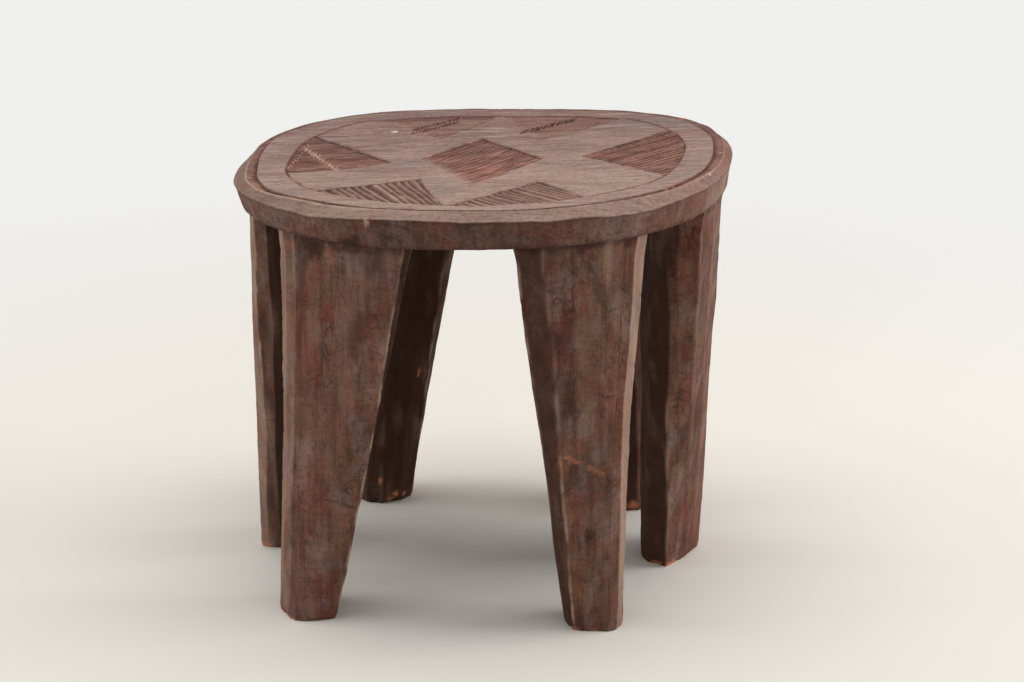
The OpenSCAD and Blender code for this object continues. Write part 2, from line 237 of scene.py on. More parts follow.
@dataclass(eq=False)
class Panel:
    """A sunk field of grooves: straight sides, and a base along the incised ring if it has one.

    Corners run anticlockwise as seen from above, and a base lies between the last corner and the first.
    Each side has a kind: cut (a V along it, with painted shade), soft (fades out), jagged (grooves overrun
    it) or plain.
    Each has a bow too: how far its middle lies outside the straight line."""

    corners: list
    kinds: list
    bows: tuple
    # The grooves: their direction in degrees, their spacing and depth
    run: float
    pitch: float
    deep: float
    # Depth of the field itself, and how strong its colour is
    floor: float
    tone: float
    seed: int
    # Rows of points to a groove, and how the grooves wander, fan out, keep their strength and stay even
    rows: int = 4
    wander: float = 0.12
    fan: float = 0
    groove: float = 1
    even: float = 0

    def __post_init__(self):
        self.corners = [np.array(c, float) for c in self.corners]
        self.run = math.radians(self.run)
        self.base = len(self.kinds) < len(self.corners)
        sides = [(self.corners[i], self.corners[j]) for i, j in pairs(len(self.corners))]
        self.sides = sides[:len(self.kinds)]
        self.middle = sum(self.corners) / len(self.corners)

    def local(self, xy):
        """Distances along and across the grooves."""
        uv = turn(np.asarray(xy) - self.middle, -self.run)
        uv[:, 1] *= 1 + self.fan * uv[:, 0]
        return uv

    def warp(self, uv):
        """How far the grooves stray from even spacing, as a share of their pitch."""
        across = 0.2 * waves(self.seed, uv[:, 1:] + 0 * uv[:, :1], self.pitch * 4)
        return across + self.wander * waves(self.seed + 1, uv / [2.5, 1], self.pitch * 3)

    def phase(self, uv):
        return uv[:, 1] / self.pitch + self.warp(uv)

    def random(self, number, salt):
        """A number from 0 to 1 of its own for each groove."""
        return np.modf(np.abs(np.sin(number * 12.9898 + (self.seed + salt) * 78.233)) * 43758.5453)[0]

    def distances(self, xy):
        """Distance in from each side, negative outside, and then from the base."""
        xy = np.asarray(xy)
        number = np.floor(self.phase(self.local(xy)))
        found = []
        for i, (a, b) in enumerate(self.sides):
            along = (b - a) / np.linalg.norm(b - a)
            d = (xy - a) @ np.array([-along[1], along[0]])
            share = np.clip((xy - a) @ along / np.linalg.norm(b - a), 0, 1)
            d = d + self.bows[i] * arch(share)
            if self.kinds[i] == "jagged":
                d = d + 2.8 * self.random(number, i) - 1.2
            else:
                d = d + 0.35 * waves(self.seed + 5 + i, xy, 16)
            found.append(d)
        if self.base:
            found.append(ring_distance(xy) + 0.3 * waves(self.seed + 8, xy, 9))
        return found

    def inside(self, xy):
        return np.min(self.distances(xy), axis=0)

    def row_points(self):
        """Points on the crests, slopes and valleys of the grooves."""
        reach = max(np.linalg.norm(c - self.middle) for c in self.corners) + 25
        step = 1.35
        u = np.arange(-reach, reach, step)
        found = []
        for k in range(int(-reach / self.pitch * self.rows), int(reach / self.pitch * self.rows) + 1):
            level = k / self.rows
            uv = np.stack([u + (k % 2) * step / 2, np.full_like(u, level * self.pitch)], axis=1)
            for _ in range(6):
                uv[:, 1] = (level - self.warp(uv)) * self.pitch
            uv[:, 1] /= np.clip(1 + self.fan * uv[:, 0], 0.5, 2)
            found.append(turn(uv, self.run) + self.middle)
        found = np.concatenate(found)
        margin = -3.4 if "jagged" in self.kinds else 0.5
        return found[self.inside(found) > margin]

    def outline_points(self):
        """Points along the top, the foot and the far edge of the cuts at the panel's sides."""
        found = []
        for (a, b), kind, bow in zip(self.sides, self.kinds, self.bows):
            if kind == "jagged":
                continue
            along = (b - a) / np.linalg.norm(b - a)
            inwards = np.array([-along[1], along[0]])
            share = np.linspace(-0.12, 1.12, int(np.linalg.norm(b - a) * 1.24 / 0.9))[:, None]
            line = a + share * (b - a) - bow * arch(share) * inwards
            for k, out in enumerate((-0.1, 0.6, 1.3)):
                found.append(line + inwards * out + along * 0.45 * k)
        if self.base:
            at = np.linspace(0, TURN, 1000)
            for out in (0.0, 0.6):
                found.append(ring_line(at, -out))
        found = np.concatenate(found)
        inside = self.inside(found)
        return found[(inside > -0.7) & (inside < 1.6)]

    def carve(self, xy):
        """Depth of the carving, how much darker it is, how light its crests are, and where it lies."""
        distances = self.distances(xy)
        inside = np.min(distances, axis=0)
        uv = self.local(xy)
        phase = self.phase(uv)
        number = np.floor(phase)
        valley = 1 - np.abs(2 * (phase - number) - 1)
        fade = 0.8 + 0.35 * waves(self.seed + 9, np.stack([uv[:, 0] / 26, number * 3.7], axis=1), 1)
        strength = (0.7 + 0.3 * self.random(number, 3)) * np.clip(fade + self.even, 0.25, 1) * self.groove
        wall = smooth(-0.1, 0.6, inside)
        soft = 1.0
        notch = np.zeros(len(uv))
        for d, kind in zip(distances, self.kinds):
            if kind == "soft":
                soft = soft * smooth(0, 9, d + 2 * waves(self.seed + 12, xy, 5))
            if kind == "cut":
                share = np.clip(1 - np.abs(d - NOTCH_IN) / NOTCH_HALF_W, 0, 1)
                notch = np.maximum(notch, share * (inside > -0.3))
        grooved = valley * strength * smooth(-0.2, 1.2, inside) * (0.35 + 0.65 * soft)
        depth = wall * (self.floor * (0.2 + 0.8 * soft) + self.deep * grooved) + NOTCH_DEPTH * notch
        # The cuts along the sides are darkened with painted shade
        dark = np.maximum(0.85 * smooth(0.15, 0.7, grooved), 0.65 * notch)
        crest = smooth(0.55, 0.0, valley) * self.random(number, 4) * wall
        return depth, dark, crest, self.tone * smooth(-0.5, 0.3, inside) * (0.3 + 0.7 * soft)


def ring_line(at, out=0.0):
    """The incised ring as the hand cut it, or a line at a distance outside it."""
    line = outline(RING_HALF_W, RING_HALF_D, at, CARVING_MOVE) - CARVING_MOVE
    away = np.expand_dims(out + by_azimuth(at, RING_STRAY), -1)
    return line * (1 + away / np.linalg.norm(line, axis=-1, keepdims=True)) + CARVING_MOVE


def distance_in(line, points):
    """Distance in from a closed line round the middle, on the way to it."""
    azimuth = np.arctan2(line[:, 1], line[:, 0])
    order = np.argsort(azimuth)
    at = np.arctan2(points[:, 1], points[:, 0])
    r = np.interp(at, azimuth[order], np.hypot(*line.T)[order], period=TURN)
    return r - np.hypot(points[:, 0], points[:, 1])


def ring_distance(xy):
    """Distance in from the incised ring."""
    return distance_in(ring_line(AT) - CARVING_MOVE, np.asarray(xy) - CARVING_MOVE)


def ring_point(azimuth):
    return tuple(ring_line(np.radians(azimuth)))


LOZENGE = Panel(
    [(-43.5, -4), (-7.5, -83), (42, -13.3), (-1.3, 53.5)], ["soft", "plain", "cut", "cut"], (0, 0, 0, 0),
    run=52, pitch=3.9, deep=0.9, floor=0.7, tone=1.0, seed=11, wander=0.1, groove=0.95)
LEFT_PANEL = Panel(
    [ring_point(-167), (-64, -9.3), ring_point(147)], ["plain", "cut"], (5, 0),
    run=7, pitch=3.4, deep=0.6, floor=0.8, tone=1.0, seed=23, rows=3, wander=0.14)
RIGHT_PANEL = Panel(
    [ring_point(25), (68.5, -12), ring_point(-31)], ["cut", "jagged"], (0, 0),
    run=45, pitch=4.7, deep=1.7, floor=0.35, tone=0.95, seed=37, wander=0.03, even=1)
FRONT_LEFT_PANEL = Panel(
    [ring_point(-99.7), (-42.4, -61.4), ring_point(-142.6)], ["cut", "cut"], (-1.5, 0),
    run=-68, pitch=5.3, deep=1.6, floor=0.35, tone=0.45, seed=41, wander=0.08, fan=0.0026, even=0.3)
FRONT_RIGHT_PANEL = Panel(
    [ring_point(-61.6), (36.8, -78.3), ring_point(-99.5)], ["cut", "cut"], (1.5, -2.5),
    run=-51, pitch=5.3, deep=1.6, floor=0.35, tone=0.5, seed=53, wander=0.06, even=0.3)
BACK_LEFT_PANEL = Panel(
    [ring_point(121.2), (-34.8, 50.6), ring_point(85.9)], ["soft", "plain"], (0, 0),
    run=0, pitch=3.4, deep=0.25, floor=0.7, tone=0.9, seed=67, rows=2, groove=0.4)
BACK_RIGHT_PANEL = Panel(
    [ring_point(85.6), (39.2, 39.6), ring_point(45.6)], ["soft", "plain"], (0, 0),
    run=0, pitch=3.4, deep=0.25, floor=0.7, tone=0.85, seed=79, rows=2, groove=0.4)
PANELS = [
    LOZENGE, LEFT_PANEL, RIGHT_PANEL, FRONT_LEFT_PANEL, FRONT_RIGHT_PANEL, BACK_LEFT_PANEL, BACK_RIGHT_PANEL
]
WHITE_FLECK = (-65.7, 86.2)


# The rows of short cuts

def pecks(start, end, count, length, tilts, seed, depth=1.3, width=2.0):
    """A row of short cuts between two points: middle, direction, length, width and depth of each."""
    rng = np.random.default_rng(seed)
    start, end = np.array(start, float), np.array(end, float)
    made = []
    for k in range(count):
        middle = start + (end - start) * (k + rng.uniform(-0.12, 0.12)) / (count - 1)
        at = math.radians(tilts[k % len(tilts)] + rng.uniform(-4, 4))
        made.append((middle + rng.uniform(-0.2, 0.2, 2), at, length * rng.uniform(0.85, 1.1),
                     width * rng.uniform(0.85, 1.2), depth * rng.uniform(0.75, 1.1)))
    return made


DARK_PECKS = (
    pecks((-52.3, 79), (-20.8, 113), 13, 10, (80,), 1, width=1.8)
    + pecks((-52, 92), (-21, 124), 12, 9.5, (80,), 6, width=1.8)
    + pecks((28, 73), (66.7, 107.8), 13, 16, (77,), 2, width=2.1)
    + pecks((40, 41), (97, 96), 17, 4.5, (52, 36), 3, depth=1.0, width=1.3)
    + pecks((-33, 53), (9, 122), 20, 4.5, (68, 48), 5, depth=0.8, width=1.3)
)
LIGHT_PECKS = (
    pecks((-128.6, 45.7), (-100.4, -24.3), 24, 14, (99, 83), 4, depth=0.8, width=1.4)
    + pecks((-126.5, 54), (-135.5, -12), 10, 6, (110, 95), 7, depth=0.7, width=1.3)
)


def peck_cuts(rows, xy):
    """Depth of the short cuts, as a share of their depth and in millimetres."""
    share = np.zeros(len(xy))
    depth = np.zeros(len(xy))
    for middle, at, length, width, deep in rows:
        near = np.nonzero(np.abs(xy - middle).max(axis=1) < length)[0]
        along, across = turn(xy[near] - middle, -at).T
        end = np.clip((np.abs(along) / (length / 2) - 0.8) / 0.2, 0, None)
        away = np.clip(1 - np.hypot(end, across / (width / 2)), 0, 1)
        share[near] = np.maximum(share[near], away)
        depth[near] = np.maximum(depth[near], deep * away)
    return share, depth


def peck_points():
    found = []
    for middle, at, length, width, _ in DARK_PECKS + LIGHT_PECKS:
        count = max(3, int(length / 0.9))
        u = np.linspace(-0.5, 0.5, count) * length
        found.append(turn(np.stack([u * 0.9, 0 * u], axis=1), at) + middle)
        for side in (-0.55, 0.55):
            found.append(turn(np.stack([u, 0 * u + side * width], axis=1), at) + middle)
    return np.concatenate(found)


def seat_top(xy):
    """Height of the top face and its marks."""
    xy = np.asarray(xy)
    height = 0.3 * waves(3, xy, 70) + 0.1 * waves(4, xy / [2.2, 1], 16)
    away = np.abs(ring_distance(xy) + 0.2 * waves(5, xy, 60))
    ring = np.clip(1 - away / (RING_CUT_W / 2), 0, 1) * (0.8 + 0.3 * waves(6, xy, 25))
    carving, dirt, cut, wear, beside_base = np.zeros((5, len(xy)))
    for panel in PANELS:
        depth, dark, crest, tone = panel.carve(xy)
        carving = np.maximum(carving, depth)
        dirt = np.maximum(dirt, dark)
        cut = np.maximum(cut, tone)
        wear = np.maximum(wear, 0.6 * crest)
        if panel in (FRONT_LEFT_PANEL, FRONT_RIGHT_PANEL):
            beside_base = np.maximum(beside_base, smooth(-4, 0, np.min(panel.distances(xy)[:-1], axis=0)))
    ring_at = np.arctan2(xy[:, 1] - CARVING_MOVE[1], xy[:, 0] - CARVING_MOVE[0])
    ring = ring * (1 - 0.7 * beside_base) * (1 - 0.6 * bump(ring_at, -157, 18))
    height -= np.maximum(carving, RING_CUT_DEPTH * ring)
    dirt = np.maximum(dirt, 0.8 * smooth(0.1, 0.8, ring))
    cut = np.maximum(cut, 0.8 * smooth(1.6, 0.6, away) * (1 - beside_base))
    for rows, is_dark in ((DARK_PECKS, True), (LIGHT_PECKS, False)):
        share, depth = peck_cuts(rows, xy)
        height -= depth
        if is_dark:
            dirt = np.maximum(dirt, 1.2 * smooth(0.0, 0.35, share))
        else:
            wear = np.maximum(wear, smooth(0.05, 0.4, share))
            dirt = dirt * (1 - smooth(0, 0.2, share))
    fleck = smooth(2.2, 0.8, np.hypot(*((xy - WHITE_FLECK) / [1.3, 1.6]).T))
    return height, {"cut": cut, "dirt": dirt, "wear": wear, "fleck": fleck}


# The points of the top

def thin_out(points, away_from, gap):
    """The points that lie at least a gap from all of the others."""
    taken = {}
    for p in away_from:
        taken.setdefault((int(p[0] // gap), int(p[1] // gap)), []).append(p)
    kept = []
    for p in points:
        i, j = int(p[0] // gap), int(p[1] // gap)
        near = [q for a in (-1, 0, 1) for b in (-1, 0, 1) for q in taken.get((i + a, j + b), ())]
        if all((p[0] - q[0]) ** 2 + (p[1] - q[1]) ** 2 > gap * gap for q in near):
            kept.append(p)
            taken.setdefault((i, j), []).append(p)
    return kept


def hex_grid(step):
    """Points all over the seat, in rows that are set off by half a step."""
    reach, row = 190, step * 0.866
    found = []
    for j in range(int(2 * reach / row)):
        x = np.arange(-reach, reach, step) + (j % 2) * step / 2
        found.append(np.stack([x, np.full_like(x, -reach + j * row)], axis=1))
    return np.concatenate(found)


def within(line, points, margin):
    """The points that lie inside a round line by more than a margin."""
    return points[distance_in(line, points) > margin]


def fill(line, inner):
    """Triangles that fill a closed line, by way of inner points. Points of the line come first."""
    count = len(line)
    points = [Vector(p) for p in line.tolist()] + [Vector(p) for p in inner]
    made, _, faces, origins, _, _ = delaunay_2d_cdt(points, pairs(count), [], 1, 1e-6)
    assert all(i in origins[i] for i in range(count))
    return np.array([tuple(p) for p in made]), [tuple(f) for f in faces]


def top_inner_points(edge):
    """Points inside the platform's edge, close together where the carving needs them."""
    count = 640
    at = np.arange(count) * TURN / count
    outs = (-1.5, -0.7, 0, 0.7, 1.5)
    ring = np.concatenate([ring_line(at + k % 2 * TURN / (2 * count), out) for k, out in enumerate(outs)])
    groups = [(peck_points(), 0.38)]
    groups += [(panel.outline_points(), 0.42) for panel in PANELS]
    groups += [(ring, 0.5)]
    groups += [(panel.row_points(), 0.5) for panel in PANELS]
    kept = []
    for points, gap in groups:
        kept += thin_out(within(edge, points, 1.2).tolist(), kept, gap)
    plain = within(edge, hex_grid(2.5), 1.4)
    return kept + thin_out(plain.tolist(), kept, 1.5)


# The rim and the underside

def steps(rng, start, end, low, high):
    """Where uneven steps of a tool, low to high long, end from a start to past an end."""
    ends = [start]
    while ends[-1] < end:
        ends.append(ends[-1] + rng.uniform(low, high))
    return np.array(ends)


def in_steps(ends, place):
    """The number of the step that each place lies in, and how far on in it the place lies."""
    k = np.clip(np.searchsorted(ends, place, side="right") - 1, 0, len(ends) - 2)
    return k, (place - ends[k]) / (ends[k + 1] - ends[k])


def facets(seed, low, high, deep, z=0.0):
    """How far hollow facets of a tool, low to high long, cut in round the seat at a depth z."""
    rng = np.random.default_rng(seed)
    ends = steps(rng, 0.0, TURN, low / SEAT_R, high / SEAT_R)
    bend = 0.012 * waves(seed + 1, np.column_stack([4 * CIRCLE, 0 * AT + z / 9]), 1)
    k, share = in_steps(ends * TURN / ends[-1], (AT + bend) % TURN)
    hollow = deep * rng.uniform(0.5, 1.2, len(ends))[k] * arch(share)
    tilt = rng.uniform(-0.6, 0.6, len(ends))[k]
    return hollow * (1 + tilt * (share - 0.5))


def push_out(line, amount):
    """A closed line, moved outwards by an amount that may change along it."""
    away = line / np.linalg.norm(line, axis=1)[:, None]
    return line + away * np.reshape(amount, (-1, 1))


class Levels:
    """The points of the seat with their marks: the top, row after row round the rim, and the underside."""

    def __init__(self):
        self.starts = []
        self.points = []
        self.marks = {mark: [] for mark in MARKS}

    def add(self, line, z, **given):
        self.starts.append(sum(len(p) for p in self.points))
        self.points.append(np.column_stack([line, np.broadcast_to(z, len(line))]))
        for mark, values in self.marks.items():
            values.append(np.broadcast_to(given.get(mark, 0.0), len(line)).astype(float))


class Rim:
    """The lines that the rim follows, from the platform's edge out and down to the underside."""

    def __init__(self):
        narrow = bump(AT, 156, 26)
        stray = by_azimuth(AT, PLATFORM_STRAY) + 0.25 * waves(22, CIRCLE, 0.2)
        self.ledge_w = by_azimuth(AT, LEDGE_W) + 0.2 * waves(20, CIRCLE, 0.2)
        self.platform = push_out(lip_line(LIP_INSET + GROOVE_INSET + GROOVE_WALL, AT), stray)
        self.lip = push_out(self.platform, self.ledge_w)
        self.edge = push_out(edge_line(0, AT), -5.0 * narrow - 0.25 - 0.2 * waves(21, CIRCLE, 0.16))
        self.low = push_out(edge_line(SIDE_LEAN, AT), -2.0 * narrow - 0.3)
        self.under = push_out(edge_line(SIDE_LEAN + UNDER_ROUND, AT), -1.5 * narrow - 0.3)
        # In front the groove is only a thin line
        self.thin = smooth(5, 2.4, self.ledge_w)
        self.lip_z = -LIP_DEPTH + 0.3 * self.thin + 0.15 * waves(24, CIRCLE, 0.2)
        self.edge_z = by_azimuth(AT, EDGE_Z, 1.5) + 0.3 * waves(31, CIRCLE, 0.12) - bump(AT, 178, 24)
        # Where the lip is worn, and where the facets are deep: at the seat's two ends
        rubbed = np.clip(1.2 * bump(AT, -142, 60) + 0.6 * bump(AT, -25, 35), 0.15, 1)
        self.rubbed = rubbed * (0.85 + 0.3 * waves(26, CIRCLE, 0.08))
        self.ends = 0.2 + 0.8 * np.maximum(bump(AT, -5, 75), bump(AT, 180, 60))


def groove_and_lip(levels, rim, height_at_edge):
    """The groove's steep inner wall, its floor, the ledge that rises from it, and the lip."""
    deep = (GROOVE_DEPTH - 0.9 * rim.thin) * (0.95 + 0.12 * waves(23, CIRCLE, 0.35))
    nicks = smooth(0.75, 1.3, waves(25, CIRCLE, 0.035)) * 0.8
    wall = np.minimum(0.8, 0.4 * rim.ledge_w)
    broad = 1 - rim.thin

    def out(share):
        return push_out(rim.platform, wall + share * (rim.ledge_w - wall))

    # Dirt and painted shade darken the groove, most along the foot of its inner wall
    levels.add(push_out(rim.platform, 0.35 * wall), height_at_edge * 0.5 - deep * 0.25, cut=0.3, dirt=0.3)
    levels.add(push_out(rim.platform, wall), -deep, cut=1, dirt=0.8)
    levels.add(out(0.2), -deep * 0.97, cut=1 - 0.5 * rim.thin, dirt=0.3)
    foot_z = np.minimum(rim.lip_z - 0.6 * broad, -0.3)
    for share in (0.45, 0.7, 0.88):
        z = between(-deep, foot_z, share) + 0.12 * waves(27, CIRCLE, 0.06) * broad
        levels.add(out(share), z, cut=0.8 * broad, dirt=0.12, wear=0.1)
    beside_lip = push_out(rim.platform, rim.ledge_w - 0.25)
    levels.add(beside_lip, rim.lip_z - 0.1, cut=0.4 * broad, wear=0.7 * rim.rubbed)
    levels.add(rim.lip, rim.lip_z - 0.3 * nicks, wear=rim.rubbed, raw=0.5 * nicks * rim.rubbed)


def chamfer(levels, rim):
    """The sloping face from the lip down to the uneven outer edge."""
    hollow = 0.3 * rim.ends * facets(32, 14, 34, 1.0)
    cut = 0.7 * bump(AT, -5, 55)
    side = 0.3 + 0.3 * bump(AT, -160, 60)
    for share in (0.06, 0.2, 0.35, 0.5, 0.65, 0.8, 0.92):
        line = between(rim.lip, rim.edge, share)
        rough = 0.15 * waves(33, np.column_stack([CIRCLE * SEAT_R, 0 * AT + share * 12]), 9)
        z = between(rim.lip_z, rim.edge_z, share) - hollow * math.sin(share * math.pi) + rough
        wear = 0.6 * rim.rubbed * (share < 0.1) + 0.15 * (share > 0.9)
        levels.add(push_out(line, -0.3 * hollow), z, cut=cut, side=side, wear=wear)
    levels.add(rim.edge, rim.edge_z - 0.2, dirt=0.5, side=0.7)


def side_face(levels, rim):
    """The side, cut in flat hollow facets, down to its rounded and ragged lower edge."""
    rise = by_azimuth(AT, EDGE_RISE)
    bottom_z = rise - SEAT_THICK + UNDER_ROUND + 0.6 * waves(42, CIRCLE, 0.14)
    bottom_z = bottom_z + 0.35 * waves(45, CIRCLE, 0.035)
    # Painted shade on the side in front, and painted light on the side at the right end
    painted_shade_in_front = 0.5 * bump(AT, -97, 105) * (0.8 + 0.3 * waves(43, CIRCLE, 0.1))
    painted_light_at_right_end = 0.42 * bump(AT, -6, 36) * (0.8 + 0.3 * waves(44, CIRCLE, 0.1))
    for share in (0.05, 0.12, 0.2, 0.3, 0.4, 0.5, 0.6, 0.7, 0.8, 0.9, 1.0):
        z = between(rim.edge_z - 0.2, bottom_z, share)
        hollow = rim.ends * facets(40, 10, 24, 0.9, z=share * 20)
        fine = 0.25 * waves(41, np.column_stack([CIRCLE * SEAT_R, z * 1.3]), 12)
        fade = smooth(0, 0.15, np.array(share))
        line = between(rim.edge, rim.low, share)
        # Darker just under the outer edge, and a painted shadow along the foot of the side
        dirt = 0.4 * (1 - fade) + 0.25 * (share > 0.95)
        levels.add(push_out(line, -fade * (hollow + 0.25 + fine)), z, dirt=dirt, side=1, stain=painted_shade_in_front,
                   wear=painted_light_at_right_end)
    # The rounded lower edge, with a painted shadow along it
    for share in (0.35, 0.7):
        turned = share * math.pi / 2
        line = between(rim.low, rim.under, 1 - math.cos(turned))
        z = between(bottom_z, rise - SEAT_THICK + 0.3, math.sin(turned))
        levels.add(push_out(line, -0.4), z, dirt=0.75, side=1)


def underside(levels, rim):
    """The flat underside, which bends up to the raised lower edge. It gives its points and faces."""
    points, faces = fill(rim.under, within(rim.under, hex_grid(7), 4).tolist())
    inwards = 1 - np.linalg.norm(points, axis=1) / SEAT_R
    at = np.arctan2(points[:, 1], points[:, 0])
    z = -SEAT_THICK + 0.5 + 0.45 * waves(50, points, 24)
    z += by_azimuth(at, EDGE_RISE) * smooth(0.3, 0.1, inwards)
    # Painted shade all over the underside
    levels.add(points, z, dirt=0.4, stain=0.7, side=1)
    return points, faces


def turns_up(points, face):
    a, b, c = (points[i] for i in face[:3])
    return (b[0] - a[0]) * (c[1] - a[1]) - (b[1] - a[1]) * (c[0] - a[0]) > 0


def seat_mesh(material):
    rim = Rim()
    levels = Levels()
    top, top_faces = fill(rim.platform, top_inner_points(rim.platform))
    height, top_marks = seat_top(top)
    levels.add(top, height, **top_marks)
    groove_and_lip(levels, rim, height[:AROUND])
    chamfer(levels, rim)
    side_face(levels, rim)
    base, base_faces = underside(levels, rim)

    faces = [f if turns_up(top, f) else f[::-1] for f in top_faces]
    for a, b in zip(levels.starts, levels.starts[1:]):
        faces += [(a + i, b + i, b + j, a + j) for i, j in pairs(AROUND)]
    last = levels.starts[-1]
    faces += [tuple(last + i for i in (f[::-1] if turns_up(base, f) else f)) for f in base_faces]
    placed = seat_place(np.concatenate(levels.points))
    marks = {name: np.concatenate(values) for name, values in levels.marks.items()}
    add_spots(placed, marks)
    return make_piece("carved_seat", placed, faces, marks, material, ["seat"])


# Spots of wear, stains and painted shade: the mark, where, how far it reaches sideways and upwards, and its
# strength
SPOTS = (
    ("raw", (-163, -32, 292), 2.4, 2.4, 0.8),
    ("fleck", (-161, -35, 291), 1.6, 1.4, 0.6),
    ("raw", (122, -107.4, 301.7), 1.8, 1.4, 0.9),
    ("raw", (127, -101, 301.8), 1.8, 1.4, 0.8),
    ("raw", (136, -97, 302.2), 1.2, 1, 0.7),
    ("raw", (145.4, 100, 302.5), 2, 2, 0.9),
    ("wear", (153, -68, 303), 3, 2, 1),
    ("wear", (166, -8, 302), 2.5, 2, 1),
    ("raw", (-146.4, -93, 280.5), 1, 1.8, 0.8),
    ("wear", (-74.5, -147, 290.5), 2.2, 3.5, 0.7),
    # Painted shadow where the seat's lower edge meets the front left leg, and along the seat's front
    ("stain", (-111, -124, 266), 9, 9, 1),
    ("stain", (-84, -140, 274), 10, 7, 1),
    ("stain", (-60, -146, 280), 12, 6, 0.7),
    ("raw", (-99.5, -130.4, 262), 4, 6, 0.2),
    ("fleck", (-99, -131, 247.6), 1.5, 0.8, 0.7),
    ("wear", (-105.6, -127.3, 236), 1.2, 1, 1),
    ("stain", (-106, -127.7, 219), 2, 2, 1),
    ("raw", (-131, -123, 0.2), 3.5, 2, 0.8),
    ("raw", (-99, -116, 0.2), 3.5, 2, 0.7),
    ("stain", (85, -144.5, 169.3), 4, 1.5, 1),
    ("raw", (54, -149, 128), 7, 17, 0.1),
    ("raw", (63, -147, 90), 8, 15, 0.1),
    ("raw", (64.8, -145, 42), 4, 24, 0.12),
    ("stain", (73.3, -145.5, 71), 6, 6, 0.8),
    ("raw", (63, -141.6, 1), 4, 2, 0.6),
    ("raw", (76, -143, 0.5), 4, 1.5, 0.8),
    ("raw", (-69.4, 101, 7), 2.5, 2.5, 1),
    ("raw", (-81.4, 97.5, 18.7), 2, 2.5, 0.9),
    ("raw", (-63.5, 106.6, 5.4), 2, 2, 0.9),
    ("raw", (-74, 100, 3), 3, 2, 0.9),
    ("raw", (-51, 108, 103.6), 1.5, 4, 0.7),
    ("raw", (112.6, 82, 4.2), 5, 5, 0.7),
    ("raw", (135, -26, 1), 8, 2.5, 0.8),
    ("raw", (123, -24, 1), 5, 2, 0.7),
    ("raw", (-160, 9, 1.5), 5, 3, 0.6),
)
# Scratches: from where to where, and their strength
SCRATCHES = (
    ((55, -149, 129), (64.5, -148, 124), 0.6),
    ((71, -146, 120.5), (82, -145, 114.5), 0.45),
)


def add_spots(points, marks):
    """Puts the spots and scratches that lie on a piece into its marks."""
    for number, (mark, place, sideways, upwards, strength) in enumerate(SPOTS):
        off = (points - place) / [sideways, sideways, upwards]
        near = np.nonzero(np.abs(off).max(axis=1) < 1.6)[0]
        if len(near):
            away = np.linalg.norm(off[near], axis=1) + 0.25 * waves(300 + number, off[near], 0.5)
            marks[mark][near] = np.maximum(marks[mark][near], strength * smooth(1.1, 0.5, away))
    for start, end, strength in SCRATCHES:
        start, end = np.array(start, float), np.array(end, float)
        share = np.clip((points - start) @ (end - start) / ((end - start) @ (end - start)), 0, 1)
        away = np.linalg.norm(points - start - share[:, None] * (end - start), axis=1)
        marks["raw"] = np.maximum(marks["raw"], strength * smooth(1.7, 0.5, away))


# The legs

# How far their outer faces stand in from the edge of the seat's underside
LEG_INSET = 0.2


def leg_line(azimuth):
    """The outline that the legs' outer faces follow, at an azimuth in degrees."""
    return edge_line(SIDE_LEAN + UNDER_ROUND + LEG_INSET, math.radians(azimuth))


def leg_point(azimuth, inwards):
    """A point at a distance in from that outline."""
    line = leg_line(azimuth)
    return line * (1 - inwards / np.linalg.norm(line))


def plain_leg(top_at, foot_at, foot_in, looks, painted_facet_light_and_shade):
    """A leg that the photograph hardly shows: an even section that faces outwards."""
    half_w, half_d = 22.5, 20.5
    section = [(-0.85, 0.9), (-0.45, 1.02), (0.05, 1.05), (0.5, 1.0), (0.88, 0.88), (1.02, 0.4),
               (0.98, -0.3), (0.7, -0.85), (0, -1.05), (-0.65, -0.9), (-0.98, -0.35), (-1.02, 0.35)]
    top = [(top_at + 17 * along, max(0, 26 * (1 - out) + 1)) for along, out in section]
    corners = [(out * half_d, along * half_w) for along, out in section]
    foot = turn(corners, math.radians(looks)) + leg_point(foot_at, foot_in)
    return {"top": top, "foot": foot, "waist": (0, 0), "at": top_at, "painted_facet_light_and_shade": painted_facet_light_and_shade}
